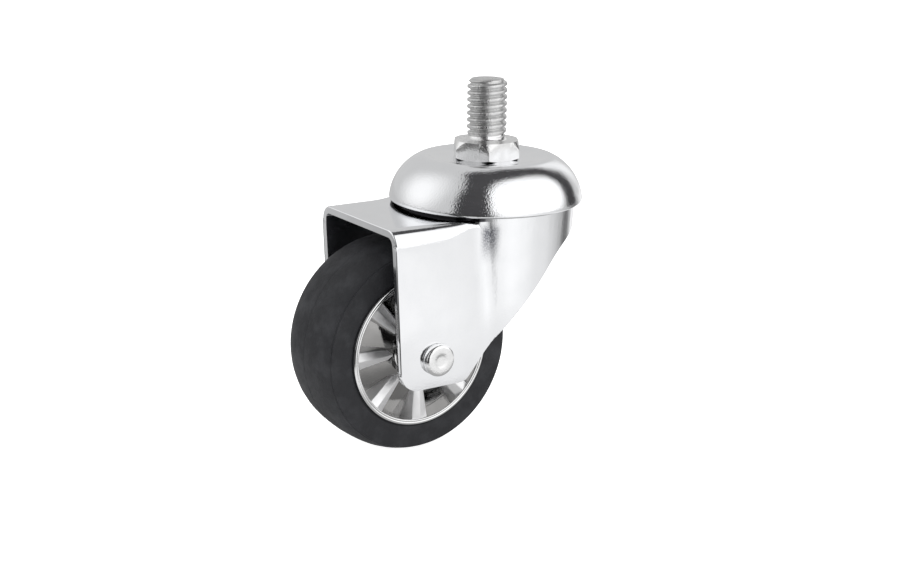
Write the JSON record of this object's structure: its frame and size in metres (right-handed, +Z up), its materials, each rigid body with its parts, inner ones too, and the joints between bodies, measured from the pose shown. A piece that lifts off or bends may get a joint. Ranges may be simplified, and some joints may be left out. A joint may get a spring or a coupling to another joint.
{
  "type": "swivel castor",
  "caption": "Swivel castor with a threaded stem, hexagon, domed swivel cover, pressed steel fork and a rubber tread on a spoked plated rim.",
  "frame": {"origin": "on the swivel axis, in the hexagon's top face, where the castor is screwed up against the furniture", "axes": "+Z up the threaded stem along the swivel axis, -X the way the wheel trails, Y along the wheel's axle with the axle's headed end towards -Y"},
  "size_m": [0.0731, 0.0464, 0.086],
  "materials": {
    "chrome_steel": "polished chrome plate on pressed steel",
    "zinc_steel": "bright zinc plate on cold headed steel",
    "bright_steel": "nickel bright rivet steel",
    "race_steel": "oiled hardened steel",
    "ball_steel": "polished bearing steel",
    "tread_rubber": "matt moulded black rubber",
    "plated_rim": "moulded plastic with bright metal plating"
  },
  "bodies": {
    "stem_head": {"stem": "zinc_steel", "dome_cover": "chrome_steel", "upper_race": "race_steel", "lower_race": "race_steel"},
    "upper_ball_ring": {"upper_ball_01": "ball_steel", "upper_ball_02": "ball_steel", "upper_ball_03": "ball_steel", "upper_ball_04": "ball_steel", "upper_ball_05": "ball_steel", "upper_ball_06": "ball_steel", "upper_ball_07": "ball_steel", "upper_ball_08": "ball_steel", "upper_ball_09": "ball_steel", "upper_ball_10": "ball_steel", "upper_ball_11": "ball_steel", "upper_ball_12": "ball_steel", "upper_ball_13": "ball_steel", "upper_ball_14": "ball_steel", "upper_ball_15": "ball_steel", "upper_ball_16": "ball_steel"},
    "lower_ball_ring": {"lower_ball_01": "ball_steel", "lower_ball_02": "ball_steel", "lower_ball_03": "ball_steel", "lower_ball_04": "ball_steel", "lower_ball_05": "ball_steel", "lower_ball_06": "ball_steel", "lower_ball_07": "ball_steel", "lower_ball_08": "ball_steel", "lower_ball_09": "ball_steel", "lower_ball_10": "ball_steel", "lower_ball_11": "ball_steel", "lower_ball_12": "ball_steel", "lower_ball_13": "ball_steel", "lower_ball_14": "ball_steel"},
    "fork": {"fork": "chrome_steel", "axle": "bright_steel", "axle_sleeve": "race_steel", "near_washer": "zinc_steel", "far_washer": "zinc_steel"},
    "wheel": {"tread": "tread_rubber", "rim": "plated_rim"}
  },
  "joints": [
    {"name": "fork_swivel", "type": "hinge", "parent": "stem_head", "child": "fork", "pos_m": [0, 0, 0], "axis": [0, 0, 1], "continuous": true},
    {"name": "upper_ball_orbit", "type": "hinge", "parent": "stem_head", "child": "upper_ball_ring", "pos_m": [0, 0, 0], "axis": [0, 0, 1], "continuous": true},
    {"name": "lower_ball_orbit", "type": "hinge", "parent": "stem_head", "child": "lower_ball_ring", "pos_m": [0, 0, 0], "axis": [0, 0, 1], "continuous": true},
    {"name": "wheel_spin", "type": "hinge", "parent": "fork", "child": "wheel", "pos_m": [-0.0245, 0, -0.0462], "axis": [0, 1, 0], "continuous": true}
  ],
  "couplings": [
    {"joint": "upper_ball_orbit", "follows": "fork_swivel", "ratio": 0.5},
    {"joint": "lower_ball_orbit", "follows": "fork_swivel", "ratio": 0.5}
  ]
}
